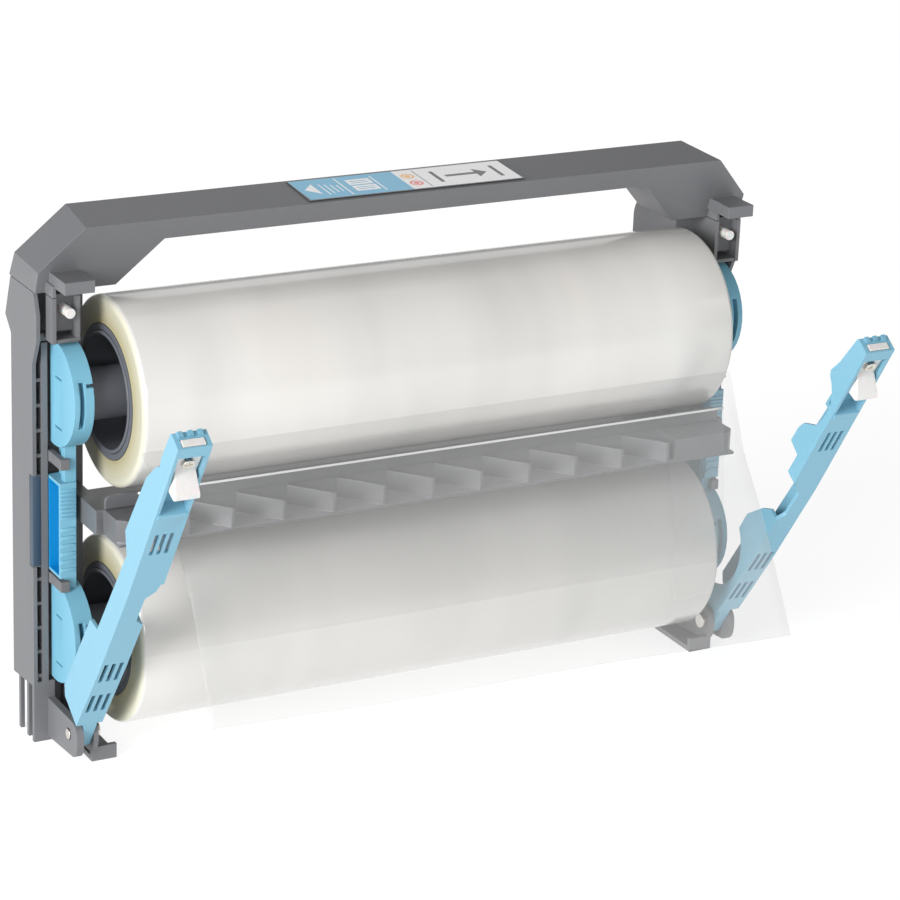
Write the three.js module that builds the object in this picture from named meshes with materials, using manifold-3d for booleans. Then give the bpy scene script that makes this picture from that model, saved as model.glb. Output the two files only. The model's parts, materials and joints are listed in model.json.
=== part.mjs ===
// Refill cartridge for a roll laminator: a handled frame that carries two rolls of
// clear film, a guide bar between them and two swing levers that lock the rolls in.
// Millimetres, +X to the right, +Y to the back, +Z up. Heights are above the feet.
import * as THREE from 'three';
import { mergeVertices } from 'three/addons/utils/BufferGeometryUtils.js';
import Module from 'manifold-3d';

const wasm = await Module();
wasm.setup();

// ---- Driving dimensions ----------------------------------------------------
const filmWidth = 306;           // both films, for sheets up to 297 wide
const filmRadius = 44;           // full roll
const coreRadius = 31;           // outside of the winding core
const coreWall = 2.6;
const rollGap = 27.1;            // between the two full rolls
const floorGap = 12.6;           // under the lower roll
const axisY = 4.6;

const gap = 0.3;                 // between pieces that touch
const runClearance = 0.4;        // around pieces that turn
const sideWidth = 30.6;          // from a film edge to the outside of the frame

const handleDepth = 32;
const handleBar = 10;            // height of the handle's bar
const handleLean = 0.36;         // how far the handle comes forward per mm of height
const handleGap = 34.7;          // from the upper roll to the handle's top
const handleSkin = 2.4;
const handleRise = 2.2;          // the handle's top is this much higher at its back
const handleTaper = 3.4;         // and each end draws in this much
const cornerX = 19.6;            // chamfer of the handle's outer corners
const cornerZ = 20.8;
const armWidth = 38.3;           // handle's arm at its lower end
const armDrop = 31.3;            // from the handle's top to the arm's lower end

const wall = 1.8;                // moulded wall of the posts
const postFrontY = 15.5;
const postBackY = 41.5;
const ladderPitch = 12;
const ladderRib = 1.6;
const boxBackY = 8.2;            // back of the shallow box round the docking peg
const endPlateBackY = 64;
const skirtZ = 26;               // lower edge of the post's outer wall

const neckRadius = 12;           // bearing neck of a roll hub
const flangeRadius = 25;
const flangeY = 12.5;            // centre of the D-shaped flange
const carrierBackY = 17;
const gripFrontY = 2;
const neckFrontY = 3.6;
const gripHeight = 46;
const gripDrop = 5.7;            // grip's middle below the middle between the rolls
const gripWall = 1.6;
const keeperHalf = 2.5;

const pivotY = -10;
const pivotZ = 14;
const pinRadius = 2.5;
const earHalf = 7.6;             // half the height of a pivot ear
const earReach = 10.5;
const leverWidth = 15.6;
const leverWall = 1.6;
const leverDepth = 15.6;
const cupDepth = 24;             // of the hollow in each end of a core
const closedLean = THREE.MathUtils.degToRad(3.4);
const openLean = THREE.MathUtils.degToRad(35);
const latchTravel = 4;

const guideHalfHeight = 6;
const vanePitch = 25.5;
const lipHeight = 6.5;

const filmSheet = 0.4;           // drawn thickness of a loose film
const tailLength = 131;

// ---- Values that follow from them ------------------------------------------
const halfFilm = filmWidth / 2;
const halfWidth = halfFilm + sideWidth;
const lowerAxisZ = filmRadius + floorGap;
const upperAxisZ = lowerAxisZ + 2 * filmRadius + rollGap;
const middleZ = (lowerAxisZ + upperAxisZ) / 2;
const handleTopZ = upperAxisZ + filmRadius + handleGap;
const armEndZ = handleTopZ - armDrop;
const ledgeZ = armEndZ + 4.5;
const leverInnerX = halfFilm + 9.2;
const leverOuterX = leverInnerX + leverWidth;
const flangeInnerX = leverInnerX + leverWall + 1.2;
const flangeOuterX = leverOuterX - leverWall - 1.8;
const tongueX = leverInnerX + 5.3;
const tongueWidth = 5.6;
const earOuterX = tongueX + tongueWidth + gap;
const carrierInnerX = flangeInnerX + 0.6;
const keeperInnerX = flangeOuterX - 1.2;
const boxFloorZ = upperAxisZ + flangeRadius + 1;
const boxInnerX = flangeInnerX + 0.6;
const boxOuterX = leverOuterX - 0.5;
const guideFrontY = axisY - filmRadius + 6.8;
const guideHalf = leverInnerX - 0.8;
const leverHead = (ledgeZ + 5.7 - pivotZ) / Math.cos(closedLean) + 2.4;

// ---- Materials ---------------------------------------------------------------
const plastic = (color, roughness, extra = {}) =>
  new THREE.MeshStandardMaterial({ color, roughness, metalness: 0, ...extra });
const greyPlastic = () => plastic(0x6d6e72, 0.55);
const bluePlastic = () => plastic(0x7cc4e4, 0.45);
const whitePlastic = () => plastic(0xe6e4e2, 0.4);
const corePlastic = () => plastic(0x4b4d52, 0.5);
const filmMaterial = () => plastic(0xdedfdc, 0.2);
const clearFilm = () => plastic(0xe8ebec, 0.1, { transparent: true, opacity: 0.35 });
const steel = () => new THREE.MeshStandardMaterial({ color: 0xb9b6ae, roughness: 0.3, metalness: 1 });

// ---- Solid helpers -----------------------------------------------------------
function asSolid(geometry) {
  const plain = geometry.index ? geometry.toNonIndexed() : geometry.clone();
  plain.deleteAttribute('normal');
  plain.deleteAttribute('uv');
  const merged = mergeVertices(plain, 1e-4);
  return new wasm.Manifold(new wasm.Mesh({
    numProp: 3,
    vertProperties: new Float32Array(merged.attributes.position.array),
    triVerts: new Uint32Array(merged.index.array),
  }));
}

function asGeometry(solid) {
  const mesh = solid.getMesh();
  const geometry = new THREE.BufferGeometry();
  geometry.setAttribute('position', new THREE.BufferAttribute(new Float32Array(mesh.vertProperties), 3));
  geometry.setIndex(new THREE.BufferAttribute(new Uint32Array(mesh.triVerts), 1));
  return geometry;
}

function join(...geometries) {
  return asGeometry(geometries.map(asSolid).reduce((sum, next) => sum.add(next)));
}

function cut(geometry, ...tools) {
  return asGeometry(tools.map(asSolid).reduce((rest, tool) => rest.subtract(tool), asSolid(geometry)));
}

function block(x0, x1, y0, y1, z0, z1) {
  const box = new THREE.BoxGeometry(x1 - x0, y1 - y0, z1 - z0);
  return box.translate((x0 + x1) / 2, (y0 + y1) / 2, (z0 + z1) / 2);
}

function shapeOf(outline) {
  if (outline instanceof THREE.Shape) return outline;
  return new THREE.Shape(outline.map(([a, b]) => new THREE.Vector2(a, b)));
}

function extruded(outline, depth, curveSegments = 10) {
  return new THREE.ExtrudeGeometry(shapeOf(outline), { depth, bevelEnabled: false, curveSegments });
}

// An outline given as [y, z] becomes a prism from x0 to x1.
function prismX(outline, x0, x1) {
  const turn = new THREE.Matrix4().makeBasis(
    new THREE.Vector3(0, 1, 0), new THREE.Vector3(0, 0, 1), new THREE.Vector3(1, 0, 0));
  return extruded(outline, x1 - x0).applyMatrix4(turn).translate(x0, 0, 0);
}

// An outline given as [x, z] becomes a prism from y0 to y1.
function prismY(outline, y0, y1) {
  return extruded(outline, y1 - y0).rotateX(Math.PI / 2).translate(0, y1, 0);
}

// An outline given as [x, y] becomes a prism from z0 to z1.
function prismZ(outline, z0, z1) {
  return extruded(outline, z1 - z0).translate(0, 0, z0);
}

function rodX(radius, x0, x1, y, z, sides = 32) {
  return new THREE.CylinderGeometry(radius, radius, x1 - x0, sides)
    .rotateZ(-Math.PI / 2).translate((x0 + x1) / 2, y, z);
}

function rodY(radius, y0, y1, x, z, sides = 20) {
  return new THREE.CylinderGeometry(radius, radius, y1 - y0, sides).translate(x, (y0 + y1) / 2, z);
}

// A profile of [radius, x] points is turned round the X axis.
function turnedX(profile, sides = 56) {
  const points = profile.map(([radius, x]) => new THREE.Vector2(radius, x));
  return new THREE.LatheGeometry(points, sides).rotateZ(-Math.PI / 2);
}

function mirrored(geometry) {
  const copy = asGeometry(asSolid(geometry)).scale(-1, 1, 1);
  const index = copy.index.array;
  for (let i = 0; i < index.length; i += 3) {
    [index[i], index[i + 1]] = [index[i + 1], index[i]];
  }
  return copy;
}

const part = new THREE.Group();

function addPart(parent, name, geometry, material) {
  const mesh = new THREE.Mesh(geometry, material);
  mesh.name = name;
  parent.add(mesh);
}

// Side pieces are drawn for the right-hand side and mirrored for the left.
const sides = [
  { name: 'right', place: (geometry) => geometry },
  { name: 'left', place: mirrored },
];

// ---- Handle ------------------------------------------------------------------
// The whole handle leans forward. Towards its back its top rises and its ends draw in.
function leaned(geometry) {
  const position = geometry.attributes.position;
  for (let i = 0; i < position.count; i += 1) {
    const [x, y, z] = [position.getX(i), position.getY(i), position.getZ(i)];
    const share = (y / handleDepth) * Math.max(0, (z - armEndZ) / armDrop);
    position.setXYZ(i, x * (1 - share * handleTaper / halfWidth),
      y + (handleTopZ - z) * handleLean, z + share * handleRise);
  }
  return geometry;
}

function archOutline(inset) {
  const side = halfWidth - inset;
  const top = handleTopZ - inset;
  const armInside = halfWidth - armWidth + inset;
  const barUnder = handleTopZ - handleBar + inset;
  const corner = cornerX - inset * 0.4;
  const right = [
    [armInside, armEndZ],
    [side, armEndZ],
    [side, top - cornerZ],
    [side - corner, top],
  ];
  const left = right.map(([x, z]) => [-x, z]).reverse();
  const slope = armWidth - cornerX + 1.6;
  return [
    ...right, ...left,
    [-(armInside - slope), barUnder],
    [armInside - slope, barUnder],
  ];
}

// A catch ledge stands out in front of each arm, on two short cheeks.
function catches(sideName) {
  const ledge = prismZ([[leverInnerX + 1.6, -10], [leverOuterX + 0.2, -10], [leverOuterX + 0.2, 14],
    [boxInnerX - 1.2, 14], [boxInnerX - 1.2, 0]], ledgeZ, ledgeZ + 5.7);
  const cheekIn = block(boxInnerX, boxInnerX + wall, 3, 14, armEndZ, ledgeZ + 1);
  const cheekOut = block(boxOuterX, boxOuterX + wall, 2, 14, armEndZ, ledgeZ + 1);
  return [ledge, cheekIn, cheekOut].map((piece) => (sideName === 'left' ? mirrored(piece) : piece));
}

function handle() {
  const body = prismY(archOutline(0), 0, handleDepth);
  const hollow = prismY(archOutline(handleSkin), handleSkin, handleDepth + 5);
  const ribs = [-2, -1, 0, 1, 2].map((place) => {
    const x = place * halfFilm * 0.36;
    return block(x - 0.8, x + 0.8, 1, handleDepth - 1, handleTopZ - handleBar + 1, handleTopZ - 1);
  });
  return join(leaned(join(cut(body, hollow), ...ribs)), ...catches('right'), ...catches('left'));
}
addPart(part, 'handle_frame', handle(), greyPlastic());

const labelWidth = 112;
const labelX = 1.5;
const labelMargin = 2.4;
addPart(part, 'handle_label', leaned(block(labelX - labelWidth / 2, labelX + labelWidth / 2,
  labelMargin, handleDepth - labelMargin, handleTopZ + gap, handleTopZ + 2 * gap)), whitePlastic());

// ---- Side posts --------------------------------------------------------------
const postTopZ = armEndZ - gap;
const wallX = halfWidth - wall;
const secondWallX = leverOuterX - 1.4;
const secondWallOut = secondWallX + 2.9;

function outerWall() {
  const outline = new THREE.Shape();
  outline.moveTo(postFrontY, 0);
  outline.lineTo(postFrontY + 2.4, 0);
  outline.lineTo(postFrontY + 2.4, skirtZ + 2);
  outline.lineTo(postBackY, skirtZ);
  outline.lineTo(postBackY, armEndZ - 27);
  outline.lineTo(postBackY + 7, armEndZ - 20);
  outline.lineTo(postBackY + 0.2, postTopZ);
  outline.lineTo(postFrontY - 2, postTopZ);
  outline.lineTo(postFrontY - 5.5, armEndZ - 10);
  outline.lineTo(postFrontY - 5.5, armEndZ - 22);
  outline.lineTo(postFrontY, armEndZ - 34);
  outline.closePath();
  return prismX(outline, wallX, halfWidth);
}

function ladder() {
  const rungs = [];
  for (let z = skirtZ + 6; z < armEndZ - 34; z += ladderPitch) {
    rungs.push(block(secondWallOut - 0.5, wallX + 0.5, postFrontY + 1, postBackY - 2, z, z + ladderRib));
  }
  return rungs;
}

// Beside the grip the ladder is closed by a thicker panel, set back in the wall's edge.
const panelLowZ = middleZ - 27;
const panelHighZ = middleZ + 17.5;

function sidePanel() {
  const frontY = postFrontY + 0.6;
  return block(secondWallOut - 0.5, halfWidth - 0.4, frontY, frontY + 4.4, panelLowZ, panelHighZ);
}

function endPlate() {
  const corner = 12;
  const outline = new THREE.Shape();
  outline.moveTo(24, 0);
  outline.lineTo(endPlateBackY, 0);
  outline.lineTo(endPlateBackY, postTopZ - corner);
  outline.absarc(endPlateBackY - corner, postTopZ - corner, corner, 0, Math.PI / 2, false);
  outline.lineTo(24, postTopZ);
  outline.closePath();
  return prismX(outline, halfFilm + 3, halfFilm + 3 + wall);
}

// The box round the peg is open in front, with a slit between its floor and its back wall.
function topBox() {
  const [floorZ, frontY] = [boxFloorZ, postFrontY];
  const backWall = block(boxInnerX, boxOuterX + wall, boxBackY, boxBackY + wall, floorZ + 3.9, postTopZ);
  const inner = block(boxInnerX, boxInnerX + wall, 3, postBackY, floorZ, postTopZ);
  const outer = block(boxOuterX, boxOuterX + wall, 2, boxBackY + wall, floorZ, postTopZ);
  const floor = block(boxInnerX, boxOuterX + 1, 2.6, frontY + 1, floorZ, floorZ + 1.6);
  const bridge = block(boxOuterX - 1, wallX + 0.5, frontY - 1, frontY + 3, floorZ - 2, floorZ + 1.6);
  return [backWall, inner, outer, floor, bridge];
}

// A pivot ear reaches forward past the lever's pin and has rounded front corners.
function ear(x0, x1, backY, reach) {
  const front = pivotY - reach;
  const top = pivotZ + earHalf;
  const low = pivotZ - earHalf - 2;
  const outline = new THREE.Shape();
  outline.moveTo(backY, 2);
  outline.lineTo(backY, top);
  outline.lineTo(front + 7, top);
  outline.quadraticCurveTo(front, top, front, pivotZ);
  outline.quadraticCurveTo(front, low, front + 7, low);
  outline.closePath();
  return prismX(outline, x0, x1);
}

function post() {
  const back = block(halfFilm + 3, halfWidth - 0.9, postBackY - wall, postBackY, skirtZ, postTopZ);
  const second = block(secondWallX, secondWallOut, postFrontY, postBackY - 1, skirtZ, armEndZ - 24.6);
  const panel = block(halfFilm + 4, secondWallOut - 0.5, 24, 24 + wall, 0, postTopZ);
  const footFront = block(earOuterX, halfWidth - 0.5, postFrontY, postFrontY + 2.4, 0, skirtZ + 4);
  const footSide = block(earOuterX, earOuterX + 2.4, postFrontY + 1, postBackY - 8, 0, skirtZ + 4);
  const fins = [23.1, 33.2].map((y) => block(wallX - 0.4, halfWidth - 0.3, y, y + 2.4, 0, skirtZ + 4));
  const footBase = block(halfFilm + 1.9, tongueX - gap, -14.4, 25, 0, 2.6);
  const heel = block(halfFilm + 3.7, tongueX - gap, 16.4, 25.8, 0, skirtZ);
  const toe = block(halfFilm + 1.9, tongueX - gap, -14.4, -12.2, 0, 7);
  const earInner = ear(tongueX - gap - 2.3, tongueX - gap, 18, earReach - 3.4);
  const earOuter = ear(earOuterX, earOuterX + 3.4, postFrontY + 1, earReach);
  const solid = join(outerWall(), back, second, panel, endPlate(), footFront, footSide, ...fins,
    footBase, heel, toe, earInner, earOuter, sidePanel(), ...ladder(), ...topBox());
  const pinHole = rodX(pinRadius + runClearance, halfFilm + 3.7, halfWidth, pivotY, pivotZ);
  const pegHole = rodY(2.7, boxBackY - 1, boxBackY + 4, pegX, pegZ);
  const notchY = postFrontY - 1;
  const edgeNotch = block(wallX - 0.1, halfWidth + 1, notchY, notchY + 1.6, panelLowZ, panelHighZ);
  const sideNotch = block(halfWidth - 0.4, halfWidth + 1, notchY, notchY + 5.4, panelLowZ, panelHighZ);
  return cut(solid, pinHole, pegHole, edgeNotch, sideNotch);
}

const pegX = leverOuterX - 6.2;
const pegZ = armEndZ - 7;

function peg() {
  const shank = rodY(2.4, -1, boxBackY + 5, pegX, pegZ);
  const head = rodY(3.6, boxBackY + wall + gap, boxBackY + 5, pegX, pegZ);
  return join(shank, head);
}

function pivotPin() {
  const shaft = rodX(pinRadius, tongueX - gap - 3.4, earOuterX + 4, pivotY, pivotZ, 24);
  const head = rodX(pinRadius + 1.3, tongueX - gap - 4.6, tongueX - gap - 2.3 - gap, pivotY, pivotZ, 24);
  return join(shaft, head);
}

// Hook clips hold the carrier's neck above and below its grip.
const keeperHighZ = middleZ + 26.5;
const keeperLowZ = middleZ - 32.5;

function keeper(z) {
  const [low, high] = [z - keeperHalf, z + keeperHalf];
  const bar = block(keeperInnerX, keeperInnerX + 2.6, 1.2, postFrontY + 6, low, high);
  const root = block(keeperInnerX, secondWallX - gap, carrierBackY - 3, postFrontY + 6, low, high);
  const hook = block(keeperInnerX - 1.6, keeperInnerX + 2.6, 0.9, neckFrontY - gap, low, high);
  return join(bar, root, hook);
}

// ---- Roll carriers -----------------------------------------------------------
function flange(z) {
  const outline = new THREE.Shape();
  const reach = Math.acos((carrierBackY - flangeY) / flangeRadius);
  outline.absarc(flangeY, z, flangeRadius, reach, 2 * Math.PI - reach, false);
  outline.closePath();
  const disc = prismX(outline, flangeInnerX, flangeOuterX);
  const groove = new THREE.Shape();
  groove.absarc(flangeY, z, flangeRadius + 1, Math.PI * 0.855, Math.PI * 1.145, false);
  groove.absarc(flangeY, z, flangeRadius - 5, Math.PI * 1.145, Math.PI * 0.855, true);
  groove.closePath();
  const step = block(flangeInnerX - 1, flangeInnerX + 3.2, -13, -7, z + 8.4, z + 10);
  const slits = [7.6, -15.8].map((rise) =>
    block(flangeOuterX - 1.4, flangeOuterX + 1, flangeY - 9, flangeY - 1, z + rise, z + rise + 0.9));
  return cut(disc, prismX(groove, flangeInnerX + 4.4, flangeInnerX + 6.8), step, ...slits);
}

function carrier() {
  const barX = carrierInnerX + 1.4;
  const [gripLow, gripHigh] = [middleZ - gripDrop - gripHeight / 2, middleZ - gripDrop + gripHeight / 2];
  const spine = block(barX, flangeOuterX - 4, 5, carrierBackY, lowerAxisZ + 12, upperAxisZ - 12);
  const neck = block(barX + 0.4, keeperInnerX - gap, neckFrontY, 8, lowerAxisZ + 20, upperAxisZ - 20);
  const grip = block(barX + 1, leverOuterX - leverWall - gap, gripFrontY, carrierBackY, gripLow, gripHigh);
  const pocket = block(barX + 1 + gripWall, secondWallX + 2, gripFrontY + gripWall, carrierBackY - gripWall,
    gripLow + gripWall, gripHigh - gripWall);
  const solid = cut(join(spine, neck, grip, flange(lowerAxisZ), flange(upperAxisZ)), pocket);
  const clear = [keeperHighZ, keeperLowZ].flatMap((z) => {
    const [low, high] = [z - keeperHalf - gap, z + keeperHalf + gap];
    return [
      block(keeperInnerX - gap, secondWallX, -3, carrierBackY + 1, low, high),
      block(keeperInnerX - 1.6 - gap, secondWallX, -3, neckFrontY, low, high),
    ];
  });
  const sockets = [lowerAxisZ, upperAxisZ].map((z) =>
    rodX(8 + gap, flangeInnerX - 1, flangeInnerX + 3.2 + gap, axisY, z));
  return cut(solid, ...clear, ...sockets);
}

// A hub plug carries one roll end: a spigot in the carrier and a neck in the roll's cup.
function hubPlug(z) {
  const inner = halfFilm - cupDepth - 3;
  const profile = [
    [0, inner],
    [neckRadius - 3, inner],
    [neckRadius, inner + 3],
    [neckRadius, flangeInnerX - gap],
    [8, flangeInnerX - gap],
    [8, flangeInnerX + 3.2],
    [0, flangeInnerX + 3.2],
  ];
  return turnedX(profile, 40).translate(0, axisY, z);
}

for (const side of sides) {
  addPart(part, `side_post_${side.name}`, side.place(post()), greyPlastic());
  addPart(part, `docking_peg_${side.name}`, side.place(peg()), whitePlastic());
  addPart(part, `pivot_pin_${side.name}`, side.place(pivotPin()), steel());
  addPart(part, `keeper_upper_${side.name}`, side.place(keeper(keeperHighZ)), greyPlastic());
  addPart(part, `keeper_lower_${side.name}`, side.place(keeper(keeperLowZ)), greyPlastic());
  addPart(part, `roll_carrier_${side.name}`, side.place(carrier()), bluePlastic());
  addPart(part, `hub_upper_${side.name}`, side.place(hubPlug(upperAxisZ)), corePlastic());
  addPart(part, `hub_lower_${side.name}`, side.place(hubPlug(lowerAxisZ)), corePlastic());
}

// ---- Rolls -------------------------------------------------------------------
function filmWinding() {
  return turnedX([
    [coreRadius + gap, -halfFilm], [filmRadius, -halfFilm],
    [filmRadius, halfFilm], [coreRadius + gap, halfFilm], [coreRadius + gap, -halfFilm],
  ], 72);
}

function core() {
  const inside = coreRadius - coreWall;
  return turnedX([
    [inside, -halfFilm], [coreRadius, -halfFilm],
    [coreRadius, halfFilm], [inside, halfFilm], [inside, -halfFilm],
  ], 56);
}

function endCup() {
  const fit = coreRadius - coreWall - gap;
  const bore = neckRadius + runClearance;
  return turnedX([
    [bore, halfFilm - cupDepth - 6], [fit, halfFilm - cupDepth - 6], [fit, halfFilm + 0.6],
    [fit - 1.8, halfFilm + 0.6], [fit - 4, halfFilm - cupDepth + 4], [fit - 8, halfFilm - cupDepth],
    [bore, halfFilm - cupDepth], [bore, halfFilm - cupDepth - 6],
  ], 56);
}

for (const [level, z] of [['upper', upperAxisZ], ['lower', lowerAxisZ]]) {
  const roll = new THREE.Group();
  roll.position.set(0, axisY, z);
  part.add(roll);
  addPart(roll, `${level}_film_winding`, filmWinding(), filmMaterial());
  addPart(roll, `${level}_core`, core(), corePlastic());
  for (const side of sides) {
    addPart(roll, `${level}_end_cup_${side.name}`, side.place(endCup()), corePlastic());
  }
}

// ---- Guide between the rolls ---------------------------------------------------
const guideBackY = 0;
const trayBackY = 38;
const guideBeamY = guideFrontY + 18;

function vane(x) {
  const shift = 16;
  return prismZ([[x, guideBeamY + 1], [x + 1.6, guideBeamY + 1], [x + shift + 1.6, guideFrontY],
    [x + shift, guideFrontY]], middleZ - guideHalfHeight + 3, middleZ + guideHalfHeight + 2);
}

function guide() {
  const z0 = middleZ - guideHalfHeight + 3;
  const z1 = middleZ + guideHalfHeight + 3;
  const beam = block(-guideHalf, guideHalf, guideBeamY, guideBackY, z0, z1);
  const shelf = block(-guideHalf, guideHalf, guideFrontY, guideBeamY + 1, z0, z0 + 1.4);
  const trayHalf = halfFilm + 2.4;
  const tray = block(-trayHalf, trayHalf, guideBackY - 1, trayBackY, z0, z0 + 1.4);
  const solids = [beam, shelf, tray];
  const endLength = 34;
  for (const sign of [-1, 1]) {
    const outline = [
      [sign * (guideHalf - endLength), guideBeamY + 1],
      [sign * (guideHalf - endLength), guideFrontY],
      [sign * (guideHalf - 4), guideFrontY],
      [sign * guideHalf, guideFrontY + 4],
      [sign * guideHalf, guideBeamY + 1],
    ];
    solids.push(prismZ(outline, z0, z1));
    const spigotX = [sign * (halfFilm + 5.3), sign * (carrierInnerX - gap)].sort((a, b) => a - b);
    solids.push(block(spigotX[0], spigotX[1], guideBeamY, 24 - gap, z0, z1));
  }
  const vaneCount = Math.floor((2 * (guideHalf - endLength) - 16) / vanePitch);
  const first = -(vaneCount * vanePitch + 16) / 2;
  for (let i = 0; i <= vaneCount; i += 1) {
    solids.push(vane(first + i * vanePitch));
  }
  return join(...solids);
}
addPart(part, 'guide_bar', guide(), greyPlastic());

function guideLip() {
  const z0 = middleZ + guideHalfHeight + 3 + gap;
  const outline = new THREE.Shape();
  outline.moveTo(-guideHalf, z0);
  outline.lineTo(guideHalf, z0);
  outline.lineTo(guideHalf, z0 + lipHeight - 3);
  outline.absarc(guideHalf - 3, z0 + lipHeight - 3, 3, 0, Math.PI / 2, false);
  outline.absarc(3 - guideHalf, z0 + lipHeight - 3, 3, Math.PI / 2, Math.PI, false);
  outline.closePath();
  return prismY(outline, guideBeamY - 1.4, guideBeamY + 0.4);
}
addPart(part, 'guide_lip', guideLip(), greyPlastic());

// ---- Loose film ----------------------------------------------------------------
// A flat slab is wrapped on to a surface that is given by a point and a normal.
function wrapped(width, length, across, along, surface) {
  const geometry = new THREE.BoxGeometry(width, length, filmSheet, across, along, 1);
  const position = geometry.attributes.position;
  for (let i = 0; i < position.count; i += 1) {
    const x = position.getX(i);
    const travel = position.getY(i) / length + 0.5;
    const { point, normal } = surface(x, travel);
    const lift = position.getZ(i);
    position.setXYZ(i, x, point.x + normal.x * lift, point.y + normal.y * lift);
  }
  return geometry;
}

function curveSurface(curveAt) {
  return (x, travel) => {
    const curve = curveAt(x);
    const tangent = curve.getTangent(travel);
    return { point: curve.getPoint(travel), normal: new THREE.Vector2(-tangent.y, tangent.x) };
  };
}

// The tail hangs from the upper roll; its left edge bows further forward than its right.
const tailStart = new THREE.Vector2(axisY - filmRadius + 2.7 - gap - 0.4, upperAxisZ - 15.4);

function tailCurve(x) {
  const bow = 0.5 - x / filmWidth;
  const end = new THREE.Vector2(tailStart.x - 67 - 14 * bow, tailStart.y - 111 + 11.6 * bow);
  const first = new THREE.Vector2().lerpVectors(tailStart, end, 0.33);
  const second = new THREE.Vector2().lerpVectors(tailStart, end, 0.7);
  first.add(new THREE.Vector2(-8 * bow, 16 * bow));
  second.add(new THREE.Vector2(-12 * bow, 18 * bow));
  return new THREE.CubicBezierCurve(tailStart, first, second, end);
}
addPart(part, 'film_tail', wrapped(filmWidth, tailLength, 8, 16, curveSurface(tailCurve)), clearFilm());

// The lower film rises from the front of its roll to the underside of the upper one.
const webFoot = new THREE.Vector2(axisY - filmRadius - 1.6, lowerAxisZ + 2);
const webHead = new THREE.Vector2(guideFrontY - 0.2, upperAxisZ - 30);
const webCurve = new THREE.LineCurve(webFoot, webHead);
addPart(part, 'film_web', wrapped(filmWidth, webFoot.distanceTo(webHead), 1, 1,
  curveSurface(() => webCurve)), clearFilm());

// ---- Levers --------------------------------------------------------------------
// Lever outlines are [back, up] from the pivot, so the closed lever stands almost upright.
const leverFoot = 14;            // lower end of the lever's channel, above the pivot
const lowerInnerX = leverInnerX + 2.8;   // the channel is narrower below the guide
const waistInnerX = leverInnerX + 6.8;   // and narrowest where it passes the guide
const leverMiddleX = (leverInnerX + leverOuterX) / 2;
const middleUp = middleZ - pivotZ;
const screwUp = leverHead - 12;
const windowLow = leverHead - 43;
const windowHigh = leverHead - 6.2;

// The lever's front edge as shares of its length, with the depth at each.
const frontLine = [[0.064, -4.6], [0.275, -5.2], [0.537, -4.1], [0.862, -0.1], [1, 1.9]];

function frontEdge(up) {
  const share = up / leverHead;
  const next = Math.max(1, frontLine.findIndex(([place]) => place >= share - 1e-9));
  const [[a, depthA], [b, depthB]] = [frontLine[next - 1], frontLine[next]];
  return depthA + (depthB - depthA) * (share - a) / (b - a);
}

function inLever(y, z) {
  const back = y - pivotY;
  const up = z - pivotZ;
  return {
    back: back * Math.cos(closedLean) + up * Math.sin(closedLean),
    up: up * Math.cos(closedLean) - back * Math.sin(closedLean),
  };
}

function leverFront(low, high) {
  const turns = frontLine.map(([share]) => share * leverHead);
  const between = turns.filter((up) => up > low + 0.5 && up < high - 0.5);
  return [low, ...between, high].map((up) => [frontEdge(up), up]);
}

function leverPlate() {
  const front = leverFront(leverFoot, leverHead - 4);
  const back = front.map(([b, up]) => [b + 1.8, up]).reverse();
  const narrow = prismY([
    [leverInnerX - 1, 0], [lowerInnerX, 0], [lowerInnerX, middleUp - 6], [waistInnerX, middleUp - 2],
    [waistInnerX, middleUp + 15], [lowerInnerX, middleUp + 19], [leverInnerX, middleUp + 29],
    [leverInnerX - 1, middleUp + 29],
  ], -9, 9);
  return cut(prismX([...front, ...back], leverInnerX, leverOuterX), narrow);
}

function leverOuterWall() {
  const notchLow = middleUp - 25;
  const notchHigh = middleUp + 33;
  return prismX([
    ...leverFront(leverFoot, leverHead).reverse(),
    [0, 14], [12, 14], [leverDepth, 18], [leverDepth, notchLow - 3], [8, notchLow], [8, notchHigh],
    [leverDepth, notchHigh + 8], [leverDepth, leverHead - 38], [11.8, leverHead - 25],
    [9.4, leverHead - 22], [10.8, leverHead - 18], [11, leverHead - 1],
  ], leverOuterX - leverWall, leverOuterX);
}

// Above the guide the inner wall is cut out for the upper roll's end.
function upperInnerWall() {
  return prismX([
    ...leverFront(middleUp + 24, leverHead).reverse(),
    [3.6, middleUp + 24], [4.2, leverHead - 81.4], [12.3, leverHead - 80.4], [12.6, leverHead - 70.8],
    [11.3, leverHead - 65.7], [4.1, leverHead - 58], [2.7, leverHead - 47.5], [3.3, leverHead - 42],
    [5.8, leverHead - 37], [9.9, leverHead - 33], [13.3, leverHead - 31], [14.6, leverHead - 28.5],
    [12.6, leverHead - 20], [11, leverHead - 1],
  ], leverInnerX, leverInnerX + leverWall);
}

// Below the guide it is cut out for the carrier's flange.
function lowerInnerWall() {
  const solid = prismX([
    ...leverFront(leverFoot, middleUp - 6).reverse(),
    [0, 14], [7, 14], [9, 30], [12.4, middleUp - 40], [13, middleUp - 25], [7, middleUp - 12],
    [2, middleUp - 6],
  ], lowerInnerX, lowerInnerX + leverWall);
  const { back, up } = inLever(flangeY, lowerAxisZ);
  return cut(solid, rodX(flangeRadius + 0.7, lowerInnerX - 1, lowerInnerX + leverWall + 0.2, back, up, 64));
}

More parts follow.
